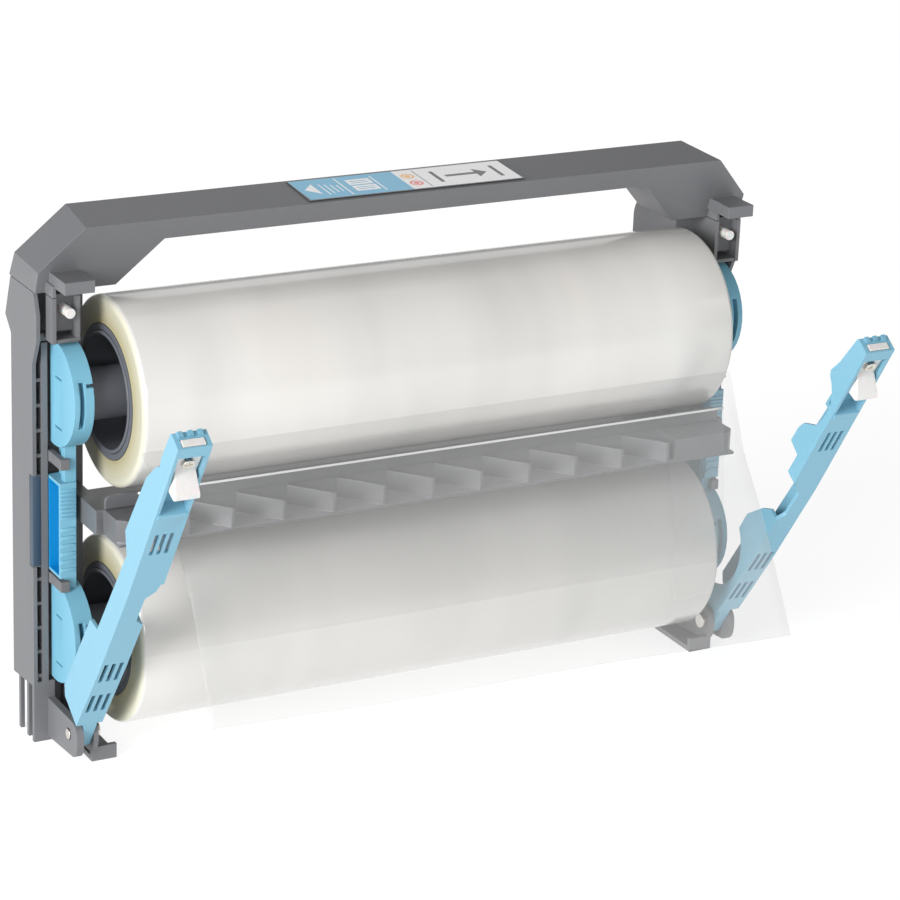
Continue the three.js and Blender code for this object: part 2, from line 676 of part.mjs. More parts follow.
function lever() {
  const head = prismX([
    [frontEdge(leverHead - 12), leverHead - 12], [frontEdge(leverHead), leverHead], [10.4, leverHead],
    [11, leverHead - 1], [11, leverHead - 12],
  ], leverInnerX, leverOuterX);
  const floor = prismX([
    [5.8, windowLow - 1], [7.4, windowLow - 1], [7.8, leverHead - 10], [6.2, leverHead - 10],
  ], leverInnerX + 1, leverOuterX - 1);
  const sill = prismX([
    [-1.6, windowLow - 2.4], [7.4, windowLow - 2.4], [7.4, windowLow], [-1.6, windowLow],
  ], leverInnerX + 1, leverOuterX - 1);
  const tongue = new THREE.Shape();
  tongue.moveTo(-4.4, 16);
  tongue.lineTo(-5.2, 0);
  tongue.absarc(0, 0, 6.4, Math.PI * 1.2, Math.PI * 2, false);
  tongue.lineTo(7, 16);
  tongue.closePath();
  const waist = prismX([[-4.4, 14], [7, 14], [7, 20], [-4.4, 20]], lowerInnerX + 0.6, leverOuterX - 1);
  const clips = [2.4, 6.8, 11.4].map((step) =>
    block(leverInnerX + step, leverInnerX + step + 2.2, 7.6, 10.2, leverHead - 1, leverHead + 1.3));
  const solid = join(leverPlate(), leverOuterWall(), upperInnerWall(), lowerInnerWall(), head, floor,
    sill, waist, prismX(tongue, tongueX, tongueX + tongueWidth), ...clips);
  const slots = [];
  for (const low of [leverHead - 193, leverHead - 167.2]) {
    for (const step of [1.8, 5.5, 9.2]) {
      slots.push(block(lowerInnerX + step, lowerInnerX + step + 2, -9, 3, low, low + 14.5));
    }
  }
  for (const step of [3.6, 7.1, 10.6]) {
    slots.push(block(leverInnerX + step, leverInnerX + step + 2, -9, 3, leverHead - 71, leverHead - 57));
  }
  const window = block(leverInnerX + leverWall, leverOuterX - leverWall, -9, 5.8, windowLow, windowHigh);
  const bore = rodX(pinRadius + runClearance, tongueX - 2, tongueX + tongueWidth + 2, 0, 0);
  const padSeat = block(leverInnerX + 2.2, leverOuterX - 2.2, 2.6, 6.8, leverHead - 3, leverHead + 2);
  const screwHole = rodY(1.6, -2, 16, leverMiddleX, screwUp, 16);
  return cut(solid, ...slots, window, bore, padSeat, screwHole);
}

// The pad is a pale strip across the top of the lever.
function tipPad() {
  return block(leverInnerX + 2.2 + gap, leverOuterX - 2.2 - gap, 2.6 + gap, 6.8 - gap,
    leverHead - 3 + gap, leverHead + 0.5);
}

const latchFront = 3.4;          // front of the latch plate, behind the lever's front
const latchBack = 5;

function latchScrew() {
  const cap = rodY(2.9, latchFront - gap - 1.4, latchFront - gap, leverMiddleX, screwUp, 24);
  const shank = rodY(1.3, latchFront - gap - 0.5, 12, leverMiddleX, screwUp, 14);
  const [front, deep] = [latchFront - 2.4, latchFront - 1.1];
  const crossA = block(leverMiddleX - 0.4, leverMiddleX + 0.4, front, deep, screwUp - 1.8, screwUp + 1.8);
  const crossB = block(leverMiddleX - 1.8, leverMiddleX + 1.8, front, deep, screwUp - 0.4, screwUp + 0.4);
  return cut(join(cap, shank), crossA, crossB);
}

// The thumb latch slides down the lever past its screw.
function latch() {
  const x0 = leverInnerX + leverWall + runClearance;
  const x1 = leverOuterX - leverWall - runClearance;
  const top = screwUp + 3;
  const low = windowLow + latchTravel + 8.4;
  const plate = block(x0, x1, latchFront, latchBack, low, top);
  const tab = prismX([[latchFront + 1, screwUp - 3.4], [-5.4, low + 7.4], [-6.4, low + 5.2], [-5.2, low + 4],
    [latchFront + 1, low + 2.4]], x0, x1);
  const taper = [-1, 1].map((sign) => prismY([
    [leverMiddleX + sign * 3.6, top + 1], [leverMiddleX + sign * 6, low + 5],
    [leverMiddleX + sign * 9, low + 5], [leverMiddleX + sign * 9, top + 1],
  ], -9, latchFront));
  const slot = block(leverMiddleX - 1.8, leverMiddleX + 1.8, latchFront - 1, latchBack + 1,
    screwUp - 1.8, top + 1);
  return cut(join(plate, tab), slot, ...taper);
}

for (const side of sides) {
  const hinge = new THREE.Group();
  hinge.position.set(0, pivotY, pivotZ);
  hinge.rotation.x = openLean;
  part.add(hinge);
  addPart(hinge, `lever_${side.name}`, side.place(lever()), bluePlastic());
  addPart(hinge, `lever_pad_${side.name}`, side.place(tipPad()), whitePlastic());
  addPart(hinge, `latch_screw_${side.name}`, side.place(latchScrew()), steel());
  addPart(hinge, `latch_${side.name}`, side.place(latch()), whitePlastic());
}

// The origin is the middle of the ground plan, on the ground.
const bounds = new THREE.Box3().setFromObject(part, true);
part.position.y = -(bounds.min.y + bounds.max.y) / 2;
part.position.x = -(bounds.min.x + bounds.max.x) / 2;

export default part;
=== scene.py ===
import bpy
import bmesh
import json
import math
from mathutils import Matrix, Vector

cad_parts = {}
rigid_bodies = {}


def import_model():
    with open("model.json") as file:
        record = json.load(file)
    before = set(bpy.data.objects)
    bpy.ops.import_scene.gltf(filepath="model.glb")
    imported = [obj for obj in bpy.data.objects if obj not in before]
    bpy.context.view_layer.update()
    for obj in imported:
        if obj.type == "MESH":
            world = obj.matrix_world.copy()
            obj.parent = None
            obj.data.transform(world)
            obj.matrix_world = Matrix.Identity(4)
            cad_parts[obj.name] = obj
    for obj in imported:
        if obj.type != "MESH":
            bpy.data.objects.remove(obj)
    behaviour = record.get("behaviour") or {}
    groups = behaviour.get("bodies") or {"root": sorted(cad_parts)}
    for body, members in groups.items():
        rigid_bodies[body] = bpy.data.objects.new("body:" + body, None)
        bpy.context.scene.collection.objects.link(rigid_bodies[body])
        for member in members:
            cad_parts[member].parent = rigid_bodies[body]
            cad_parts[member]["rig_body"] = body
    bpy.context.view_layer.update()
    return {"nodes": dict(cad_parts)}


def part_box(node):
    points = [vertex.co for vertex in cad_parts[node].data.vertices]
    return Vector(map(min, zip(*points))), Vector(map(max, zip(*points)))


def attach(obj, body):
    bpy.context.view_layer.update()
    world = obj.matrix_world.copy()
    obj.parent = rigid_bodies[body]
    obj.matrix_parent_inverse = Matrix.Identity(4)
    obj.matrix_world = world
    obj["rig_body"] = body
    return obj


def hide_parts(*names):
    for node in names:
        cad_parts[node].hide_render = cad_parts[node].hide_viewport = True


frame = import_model()
nodes = frame["nodes"]
sides = ("right", "left")
levels = ("upper", "lower")
print("frame loaded:", len(nodes), "nodes")

mm = 0.001

# places that the frame gives
rollCentre = {}
for level in levels:
    low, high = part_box(f"{level}_film_winding")
    rollCentre[level] = ((low.y + high.y) / 2, (low.z + high.z) / 2)
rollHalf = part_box("upper_film_winding")[1].x
axisY = rollCentre["upper"][0]
middleZ = (rollCentre["upper"][1] + rollCentre["lower"][1]) / 2
originY = axisY - 4.6 * mm   # the camera's target and the loose film's lines are given from here
print("rolls at", rollCentre)


view = {"turn": -28.644, "rise": 19.897, "roll": 2.213, "distance": 1.59186,
        "target": (0.02155, 0, 0.12143), "lens": 133.88, "sensor": 36, "near": 0.05, "far": 50}


def addCamera():
    turn, rise, roll = (math.radians(view[k]) for k in ("turn", "rise", "roll"))
    back = Vector((math.sin(turn) * math.cos(rise), -math.cos(turn) * math.cos(rise), math.sin(rise)))
    right = Vector((math.cos(turn), math.sin(turn), 0))
    up = back.cross(right)
    rolledRight = right * math.cos(roll) + up * math.sin(roll)
    rolledUp = up * math.cos(roll) - right * math.sin(roll)
    target = Vector(view["target"]) + Vector((0, originY, 0))
    cameraData = bpy.data.cameras.new("camera")
    cameraData.lens = view["lens"]
    cameraData.sensor_width = view["sensor"]
    cameraData.clip_start = view["near"]
    cameraData.clip_end = view["far"]
    camera = bpy.data.objects.new("camera", cameraData)
    bpy.context.scene.collection.objects.link(camera)
    axes = Matrix((rolledRight, rolledUp, back)).transposed().to_4x4()
    camera.matrix_world = Matrix.Translation(target + back * view["distance"]) @ axes
    bpy.context.scene.camera = camera


studio = {"world": 0.31, "floorGlow": 0.82, "floorSize": 6, "aim": (0, 0, 0.12),
          "key": (-2.6, -1.25, 0.95), "keyStrength": 2.3, "keySpread": 30}
lamps = {"side": ((-1.15, -0.45, 0.45), (0.5, 0.6), 7.5),   # each lamp's place, size and power
         "front": ((-0.8, -2.5, 0.85), (2.4, 0.4), 21),
         "fill": ((2.1, -1.4, 0.9), (1.0, 1.2), 5),
         "top": ((0.1, 0.4, 2.2), (1.8, 0.8), 1.5),
         "back": ((0.5, 2.2, 1.2), (1.8, 1.0), 4)}


def addLight(lightData, place, direction):
    light = bpy.data.objects.new(lightData.name, lightData)
    bpy.context.scene.collection.objects.link(light)
    turned = direction.to_track_quat("-Z", "Y").to_matrix().to_4x4()
    light.matrix_world = Matrix.Translation(place) @ turned


def addStudio():
    world = bpy.data.worlds.new("studio")
    bpy.context.scene.world = world
    world.use_nodes = True
    background = world.node_tree.nodes["Background"]
    background.inputs["Color"].default_value = (1, 1, 1, 1)
    background.inputs["Strength"].default_value = studio["world"]
    sunData = bpy.data.lights.new("key", "SUN")
    sunData.energy = studio["keyStrength"]
    sunData.angle = math.radians(studio["keySpread"])
    addLight(sunData, (0, 0, 0), -Vector(studio["key"]))
    for name, (place, size, power) in lamps.items():
        areaData = bpy.data.lights.new(name, "AREA")
        areaData.shape = "RECTANGLE"
        areaData.size, areaData.size_y = size
        areaData.energy = power
        addLight(areaData, place, Vector(studio["aim"]) - Vector(place))
    bpy.context.scene.view_settings.view_transform = "Standard"


def addFloor():
    bm = bmesh.new()
    bmesh.ops.create_grid(bm, x_segments=1, y_segments=1, size=studio["floorSize"])
    meshObject("floor", bm, floorFinish)


class Value:
    # a socket that adds Math nodes when it is used in an expression
    def __init__(self, maker, socket):
        self.maker = maker
        self.socket = socket

    def math(self, operation, *terms):
        return self.maker.node("ShaderNodeMath", {"operation": operation}, dict(enumerate(terms)))

    def __add__(self, other):
        return self.math("ADD", self, other)

    def __radd__(self, other):
        return self.math("ADD", other, self)

    def __sub__(self, other):
        return self.math("SUBTRACT", self, other)

    def __rsub__(self, other):
        return self.math("SUBTRACT", other, self)

    def __mul__(self, other):
        return self.math("MULTIPLY", self, other)

    def __rmul__(self, other):
        return self.math("MULTIPLY", other, self)

    def __pow__(self, other):
        return self.math("POWER", self, other)

    def over(self, other):
        return self.math("GREATER_THAN", self, other)

    def under(self, other):
        return self.math("LESS_THAN", self, other)

    def least(self, other):
        return self.math("MINIMUM", self, other)

    def most(self, other):
        return self.math("MAXIMUM", self, other)

    def size(self):
        return self.math("ABSOLUTE", self)

    def root(self):
        return self.math("SQRT", self)


class Finish:
    def __init__(self, name):
        self.material = bpy.data.materials.new(name)
        self.material.use_nodes = True
        self.tree = self.material.node_tree
        self.tree.nodes.clear()
        self.output = self.tree.nodes.new("ShaderNodeOutputMaterial")
        self.coordinates = self.node("ShaderNodeTexCoord", out="Object")

    def node(self, kind, settings=None, inputs=None, out=0):
        made = self.tree.nodes.new(kind)
        for key, value in (settings or {}).items():
            setattr(made, key, value)
        for key, value in (inputs or {}).items():
            if isinstance(value, Value):
                self.tree.links.new(value.socket, made.inputs[key])
            else:
                made.inputs[key].default_value = value
        return Value(self, made.outputs[out])

    def noise(self, scale, detail, stretch=None):
        vector = self.coordinates
        if stretch:
            vector = self.node("ShaderNodeMapping", None, {"Vector": vector, "Scale": stretch})
        inputs = {"Vector": vector, "Scale": scale, "Detail": detail, "Roughness": 0.55}
        return self.node("ShaderNodeTexNoise", None, inputs, "Fac")

    def axis(self, name):
        return self.node("ShaderNodeSeparateXYZ", None, {0: self.coordinates}, name)

    def mix(self, factor, first, second):
        # sockets 6 and 7 and output 2 are the node's colours
        return self.node("ShaderNodeMix", {"data_type": "RGBA"}, {"Factor": factor, 6: first, 7: second}, 2)

    def clamped(self, value, low, high):
        return self.node("ShaderNodeMapRange", None, {"Value": value, "From Min": low, "From Max": high})

    def bump(self, height, distance, strength, normal=None):
        inputs = {"Height": height, "Distance": distance, "Strength": strength}
        if normal:
            inputs["Normal"] = normal
        return self.node("ShaderNodeBump", None, inputs)

    def grain(self, strength):
        # the fine texture of a mould over its slight waviness
        waviness = self.bump(self.noise(60, 2), 0.06 * mm, 0.5)
        return self.bump(self.noise(2600, 2), 0.02 * mm, strength, waviness)

    def surface(self, **inputs):
        named = {key.replace("_", " "): value for key, value in inputs.items()}
        return self.node("ShaderNodeBsdfPrincipled", None, named)

    def finish(self, shader):
        self.tree.links.new(shader.socket, self.output.inputs["Surface"])
        return self.material


def rgb(red, green, blue):
    return (red, green, blue, 1.0)


def grey(level):
    return rgb(level, level, level)


def mouldedFinish(name, colour, pale, roughness, grain):
    f = Finish(name)
    cloud = f.noise(14, 3)
    speck = f.noise(900, 2)
    base = f.mix(cloud * 0.35 + speck * 0.12, colour, pale)
    rough = roughness + (cloud - 0.5) * 0.12 + (speck - 0.5) * 0.06
    return f.finish(f.surface(Base_Color=base, Roughness=rough, Normal=f.grain(grain), IOR=1.5))


def steelFinish(name):
    f = Finish(name)
    scratch = f.noise(500, 3, stretch=(1, 12, 1))
    base = f.mix(scratch, rgb(0.62, 0.58, 0.52), rgb(0.78, 0.75, 0.7))
    normal = f.bump(scratch, 0.01 * mm, 0.4)
    return f.finish(f.surface(Base_Color=base, Roughness=scratch * 0.2 + 0.16, Metallic=1.0, Normal=normal))


def windingFinish():
    # many layers of clear film: milky, with soft bands round the roll and slack ripples along it
    f = Finish("filmWinding")
    band = f.noise(11, 3, stretch=(1, 0.3, 0.3))
    slack = f.noise(7, 4, stretch=(0.5, 1.6, 1.6))
    tint = f.noise(4.5, 2)
    cool = f.mix(f.clamped(band, 0.35, 0.65), rgb(0.66, 0.645, 0.62), rgb(0.52, 0.515, 0.495))
    warm = f.mix(f.clamped(tint, 0.5, 0.8) * 0.45, cool, rgb(0.64, 0.57, 0.53))
    normal = f.bump(slack * 0.65 + band * 0.35, 4 * mm, 0.5)
    rough = 0.17 + band * 0.12 + slack * 0.05
    return f.finish(f.surface(Base_Color=warm, Roughness=rough, Normal=normal, Coat_Weight=0.55 + band * 0.3,
                              Coat_Roughness=0.1, IOR=1.5))


def windingEndFinish():
    # the wound edges, end on: cream, with fine rings round each roll's own axis, and a painted shade of darker
    # tan towards the core
    f = Finish("filmEnd")
    y, z = f.axis("Y"), f.axis("Z")
    upper, lower = (((y - cy) ** 2 + (z - cz) ** 2).root() for cy, cz in rollCentre.values())
    radius = upper.least(lower)
    line = {"noise_dimensions": "1D"}
    fine = f.node("ShaderNodeTexNoise", line, {"W": radius, "Scale": 2600, "Detail": 3.0}, "Fac")
    broad = f.node("ShaderNodeTexNoise", line, {"W": radius, "Scale": 320, "Detail": 3.0}, "Fac")
    # dark tan at the core's edge to pale cream outward: the cream is the film's own, the darker tan is painted
    # shade
    base = f.mix(f.clamped(radius, 31 * mm, 43.5 * mm), rgb(0.31, 0.27, 0.13), rgb(0.56, 0.55, 0.45))
    lined = f.mix(f.clamped(fine * 0.5 + broad * 0.5, 0.35, 0.7) * 0.3, base, rgb(0.62, 0.60, 0.50))
    normal = f.bump(fine * 0.4 + broad * 0.6, 0.12 * mm, 0.6)
    return f.finish(f.surface(Base_Color=lined, Roughness=0.3 + fine * 0.08, Normal=normal))


def clearFilmFinish(name, thin, clearness, low, high, creaseHighlightZ=None):
    # clear film with a faint milky body, which fades where it lies against a roll
    f = Finish(name)
    z = f.axis("Z")
    haze = f.noise(7, 3)
    ripple = f.noise(10, 3, stretch=(0.45, 1, 1))
    normal = f.bump(ripple, 3 * mm, 0.5)
    body = f.surface(Base_Color=rgb(0.72, 0.72, 0.71), Roughness=0.1 + haze * 0.08, Normal=normal, IOR=1.5)
    clear = f.node("ShaderNodeBsdfTransparent", None, {"Color": grey(clearness)})
    facing = f.node("ShaderNodeLayerWeight", None, {"Blend": 0.2}, "Facing")
    free = f.clamped(high - z, 2 * mm, 22 * mm) * f.clamped(z - low, 2 * mm, 20 * mm)
    amount = (thin + haze * 0.05 + facing * 0.07) * (free * 0.8 + 0.2)
    # a near-opaque milky line along the fold over the lip's edge is a painted highlight
    if creaseHighlightZ:
        amount = amount.most((z - creaseHighlightZ).size().under(0.5 * mm) * 0.9)
    return f.finish(f.node("ShaderNodeMixShader", None, {0: amount, 1: clear, 2: body}))


# where the guide's upward faces get a painted highlight: in front of this y, below this z, facing up more than
# level
guideLitShelf = {"front": axisY - 19.6 * mm, "top": middleZ - 0.6 * mm, "level": 0.6}


def guideFinish(name):
    # upward faces of the shelf between the vanes are painted pale, a painted highlight of light from above; the
    # vanes and the beam are dark
    f = Finish(name)
    facing = f.node("ShaderNodeNewGeometry", out="Normal")
    up = f.node("ShaderNodeSeparateXYZ", None, {0: facing}, "Z")
    front = f.axis("Y").under(guideLitShelf["front"])
    cloud = f.noise(14, 3)
    litShelf = up.over(guideLitShelf["level"]) * front * f.axis("Z").under(guideLitShelf["top"])
    dark = f.mix(cloud, rgb(0.105, 0.107, 0.115), rgb(0.15, 0.153, 0.16))
    # the paler grey is the painted highlight on upward faces
    pale = f.mix(cloud, rgb(0.32, 0.32, 0.345), rgb(0.40, 0.40, 0.42))
    return f.finish(f.surface(Base_Color=f.mix(litShelf, dark, pale), Roughness=0.34 + (cloud - 0.5) * 0.12,
                              Normal=f.grain(0.5)))


grip = {"front": axisY - 2.6 * mm, "low": middleZ - 28.7 * mm, "high": middleZ + 17.3 * mm,
        "wall": 1.3 * mm, "flange": 4.6 * mm}


def carrierFinish(name, colour, pale, paintedShadeBlue):
    # the blue of the carriers, painted a deeper, darker blue within the hollow grip as shade in that hollow
    f = Finish(name)
    cloud = f.noise(14, 3)
    x, y, z = f.axis("X").size(), f.axis("Y"), f.axis("Z")
    low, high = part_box("roll_carrier_right")
    wall = grip["wall"]
    shadedInside = x.over(low.x + grip["flange"]) * y.over(grip["front"] + wall) * y.under(high.y - wall)
    shadedInside = shadedInside * z.over(grip["low"] + wall) * z.under(grip["high"] - wall)
    base = f.mix(shadedInside, f.mix(cloud * 0.4, colour, pale), paintedShadeBlue)
    return f.finish(f.surface(Base_Color=base, Roughness=0.4 + (cloud - 0.5) * 0.12, Normal=f.grain(0.25)))


# the print on the handle, in mm from the middle of the object and of the label's depth
label = {"margin": 1.1, "split": -0.5,   # a dark border, and blue left of the split
         "white": rgb(0.84, 0.84, 0.84), "ink": rgb(0.035, 0.04, 0.045), "blue": rgb(0.10, 0.42, 0.64),
         "red": rgb(0.80, 0.14, 0.12), "orange": rgb(0.86, 0.42, 0.08),
         "boxes": [(-27, -15, -7.5, -0.6, "white"), (-27, -15, 0.6, 7.5, "white"),   # an open book
                   (-25.5, -16.5, -5.6, -4.8, "blue"), (-25.5, -16.5, -3.4, -2.6, "blue"),
                   (-25.5, -16.5, 2.6, 3.4, "blue"), (-25.5, -16.5, 4.8, 5.6, "blue"),
                   (-13.4, -12.7, -9.5, 9.5, "white"), (-31.2, -30.5, -11.2, 11.2, "white"),
                   (9.4, 9.9, -11.2, 11.2, "ink"), (22, 40, -1.3, 1.3, "ink"),   # a plain lifting arrow's shaft
                   (16.5, 18.6, -7.4, 7.4, "ink"), (48, 50, -7.4, 7.4, "ink")],
         "discs": [(4.4, -5.2, "red"), (4.4, 4.4, "orange")],
         "discRadius": 3.3, "ringRadius": 2.2, "ringWidth": 0.7,
         "lines": 4, "firstLine": -41.5, "linePitch": 2.6, "lineWidth": 0.6}


def labelFinish():
    f = Finish("labelPrint")
    low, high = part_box("handle_label")
    x = f.axis("X") * 1000
    y = (f.axis("Y") - (low.y + high.y) / 2) * 1000
    halfLength, halfDepth = (high.x - low.x) / 2 / mm, (high.y - low.y) / 2 / mm
    middle = (high.x + low.x) / 2 / mm

    def boxMask(x0, x1, y0, y1):
        return x.over(x0) * x.under(x1) * y.over(y0) * y.under(y1)

    def disc(cx, cy, radius):
        return ((x - cx) ** 2 + (y - cy) ** 2).under(radius * radius)

    white, ink = label["white"], label["ink"]
    pictures = [(boxMask(*box), label[colour]) for *box, colour in label["boxes"]]
    for cx, cy, colour in label["discs"]:
        pictures.append((disc(cx, cy, label["discRadius"]), label[colour]))
        hole = disc(cx, cy, label["ringRadius"] - label["ringWidth"])
        pictures.append((disc(cx, cy, label["ringRadius"]) * (1 - hole), white))
    for step in range(label["lines"]):
        line = label["firstLine"] + step * label["linePitch"]
        pictures.append((boxMask(line, line + label["lineWidth"], -8.5 + step, 5.5 - step), white))
    arrowHead = x.over(38) * (y.size() * 1.1).under(44 - x)
    marker = x.under(-44.5) * (y.size() * 0.9).under(x + 50.5) * x.over(-50.5)
    pictures += [(arrowHead, ink), (marker, white)]

    paper = f.mix(f.noise(300, 2) * 0.3, white, rgb(0.78, 0.78, 0.78))
    paper = f.mix(x.under(label["split"]), paper, label["blue"])
    for mask, colour in pictures:
        paper = f.mix(mask, paper, colour)
    edgeX = halfLength - (x - middle).size()
    edgeY = halfDepth - y.size()
    border = edgeX.least(edgeY).under(label["margin"])
    paper = f.mix(border, paper, ink)
    return f.finish(f.surface(Base_Color=paper, Roughness=0.28 + f.noise(80, 2) * 0.08,
                              Coat_Weight=0.3 + border * 0.1))


def plainFinish(name, colour, roughness, glow):
    f = Finish(name)
    speck = f.noise(400, 2)
    base = f.mix(speck, rgb(*(part * 0.9 for part in colour[:3])), colour)
    return f.finish(f.surface(Base_Color=base, Roughness=roughness + (speck - 0.5) * 0.1,
                              Subsurface_Weight=glow, Subsurface_Scale=3 * mm))


def paperFinish(name):
    # a bright studio sweep, lit a little from within
    f = Finish(name)
    base = f.mix(f.noise(30, 2), grey(0.28), grey(0.3))
    return f.finish(f.surface(Base_Color=base, Roughness=0.9, Specular_IOR_Level=0.0, Emission_Color=grey(1),
                              Emission_Strength=studio["floorGlow"]))


def meshObject(name, bm, *materials):
    mesh = bpy.data.meshes.new(name)
    bm.to_mesh(mesh)
    bm.free()
    for material in materials:
        mesh.materials.append(material)
    piece = bpy.data.objects.new(name, mesh)
    bpy.context.scene.collection.objects.link(piece)
    return piece


def smooth(piece, angle=35):
    for polygon in piece.data.polygons:
        polygon.use_smooth = True
    piece.data.set_sharp_from_angle(angle=math.radians(angle))


# how CAD shapes are rounded, with angles in degrees
shell = {"round": 0.35 * mm, "segments": 2, "sharp": 28, "flat": 0.6, "merge": 0.002 * mm}


def softened(nodeName, material, width=shell["round"]):
    # the same shape with its facets joined and its edges rounded
    bm = bmesh.new()
    bm.from_mesh(nodes[nodeName].data)
    bmesh.ops.remove_doubles(bm, verts=bm.verts, dist=shell["merge"])
    bmesh.ops.dissolve_limit(bm, angle_limit=math.radians(shell["flat"]), verts=bm.verts, edges=bm.edges,
                             delimit={"NORMAL"})
    piece = meshObject(nodeName + "_shell", bm, material)
    smooth(piece)
    bevel = piece.modifiers.new("bevel", "BEVEL")
    bevel.width = width
    bevel.segments = shell["segments"]
    bevel.limit_method = "ANGLE"
    bevel.angle_limit = math.radians(shell["sharp"])
    bevel.harden_normals = True
    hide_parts(nodeName)
    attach(piece, nodes[nodeName]["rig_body"])


def kept(nodeName, material):
    nodes[nodeName].data.materials.clear()
    nodes[nodeName].data.materials.append(material)


greyFinish = mouldedFinish("greyMoulding", rgb(0.125, 0.127, 0.135), rgb(0.19, 0.193, 0.2), 0.5, 0.5)
blueFinish = mouldedFinish("blueMoulding", rgb(0.165, 0.375, 0.495), rgb(0.215, 0.43, 0.55), 0.42, 0.25)
coreFinish = mouldedFinish("corePlastic", rgb(0.095, 0.1, 0.115), rgb(0.14, 0.147, 0.165), 0.36, 0.3)
whiteFinish = plainFinish("whitePlastic", rgb(0.66, 0.65, 0.64), 0.38, 0.3)
floorFinish = paperFinish("floorPaper")
nickelFinish = steelFinish("nickel")
windingSurface = windingFinish()
windingEnd = windingEndFinish()
tailFinish = clearFilmFinish("tailFilm", 0.09, 0.965, -0.1, 0.157)
# the web's last number is the height of its painted highlight line along the fold
webFinish = clearFilmFinish("webFilm", 0.02, 0.99, 0.058, 0.148, 0.1363)
# the third colour is painted shade for the hollow of the grip
carrierBlue = carrierFinish("carrierBlue", rgb(0.15, 0.38, 0.51), rgb(0.20, 0.44, 0.57), rgb(0.0, 0.22, 0.52))
guideGrey = guideFinish("guideGrey")
# dark slate blue: painted shade with a painted blue reflection of the carriers
shadeReflectionFinish = mouldedFinish("shadeReflectionPanel", rgb(0.03, 0.055, 0.088), rgb(0.045, 0.075, 0.11), 0.45, 0.5)
labelPrint = labelFinish()
print("finishes ready")

addCamera()
addStudio()
addFloor()
print("camera, light and floor ready")

greyNodes = ["handle_frame"]
whiteNodes = []
for side in sides:
    greyNodes += [f"side_post_{side}", f"keeper_upper_{side}", f"keeper_lower_{side}"]
    whiteNodes += [f"docking_peg_{side}", f"lever_pad_{side}", f"latch_{side}"]
for name in greyNodes:
    softened(name, greyFinish)
for name in ("guide_bar", "guide_lip"):
    softened(name, guideGrey)
for side in sides:
    softened(f"lever_{side}", blueFinish)
for name in whiteNodes:
    softened(name, whiteFinish)
for side in sides:
    softened(f"latch_screw_{side}", nickelFinish, 0.2 * mm)
    softened(f"pivot_pin_{side}", nickelFinish, 0.3 * mm)
    softened(f"roll_carrier_{side}", carrierBlue)
    for level in levels:
        softened(f"{level}_end_cup_{side}", coreFinish, 0.4 * mm)
        softened(f"hub_{level}_{side}", coreFinish, 0.4 * mm)
for level in levels:
    kept(f"{level}_core", coreFinish)
kept("handle_label", labelPrint)
print("hard pieces ready")


winding = {"inner": 31.3 * mm, "outer": 44 * mm, "soft": 2.4 * mm, "inset": 0.35 * mm, "steps": 128,
           "shoulder": (18, 36, 54, 72, 90), "body": (0.8, 0.5, 0.2, -0.2, -0.5, -0.8), "bodyInset": 4 * mm,
           # how far out from the inner wall, and how far in from the end
           "end": [(0, -0.1 * mm), (1.5 * mm, 0.25 * mm), (3.6 * mm, 0.05 * mm), (5.2 * mm, 0.3 * mm),
                   (8 * mm, 0.1 * mm)]}


def filmRoll(level):
    # a round-shouldered profile, slightly uneven at its ends, spun about the roll's axis
    inner, outer, soft = winding["inner"], winding["outer"], winding["soft"]
    cy, cz = rollCentre[level]
    endX = rollHalf - winding["inset"]
    side = [(inner + out, endX - dip) for out, dip in winding["end"]] + [(outer - soft, endX)]
    for degrees in winding["shoulder"]:
        angle = math.radians(degrees)
        side.append((outer - soft * (1 - math.sin(angle)), endX - soft * (1 - math.cos(angle))))
    body = [(outer, share * (rollHalf - winding["bodyInset"])) for share in winding["body"]]
    profile = side + body + [(radius, -x) for radius, x in reversed(side)]
    bm = bmesh.new()
    points = [bm.verts.new((x, cy + radius, cz)) for radius, x in profile]
    loop = [bm.edges.new((a, b)) for a, b in zip(points, points[1:] + points[:1])]
    bmesh.ops.spin(bm, geom=points + loop, cent=(0, cy, cz), axis=(1, 0, 0), dvec=(0, 0, 0),
                   angle=math.tau, steps=winding["steps"], use_merge=True)
    bmesh.ops.remove_doubles(bm, verts=bm.verts, dist=0.001 * mm)
    bmesh.ops.recalc_face_normals(bm, faces=bm.faces)
    for face in bm.faces:
        centre = face.calc_center_median()
        radius = math.hypot(centre.y - cy, centre.z - cz)
        onEnd = abs(centre.x) > rollHalf - soft and radius < outer - 0.4 * mm
        onWall = radius < inner + 0.1 * mm
        face.material_index = 1 if onEnd or onWall else 0
    piece = meshObject(f"{level}_film_roll", bm, windingSurface, windingEnd)
    smooth(piece, 50)
    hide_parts(f"{level}_film_winding")
    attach(piece, f"{level}_roll")


for level in levels:
    filmRoll(level)
print("film rolls ready")


# lines of y and z in mm down each side of a sheet, and its waves: how high in mm, and how fast they turn
film = {"thick": 0.14 * mm, "across": 48, "wavesAcross": 9, "wavesSlant": 2, "wavesDown": 2.6, "lift": 0.3}
tailShape = {"left": [(-36.9, 156.3), (-58, 142), (-77.8, 125.6), (-95.4, 103.1), (-107.9, 76.5),
                      (-117.4, 56.7)],
             "right": [(-36.9, 156.3), (-46.5, 136), (-54.8, 118.8), (-72.8, 94.8), (-103.4, 45.1)],
             "along": 40, "wave": 1.6}
webLine = [(-32.4, 146), (-33.4, 136.2), (-36.2, 115), (-38.8, 90), (-41.0, 68), (-40.9, 60)]
webShape = {"left": webLine, "right": webLine, "along": 24, "wave": 0.25}


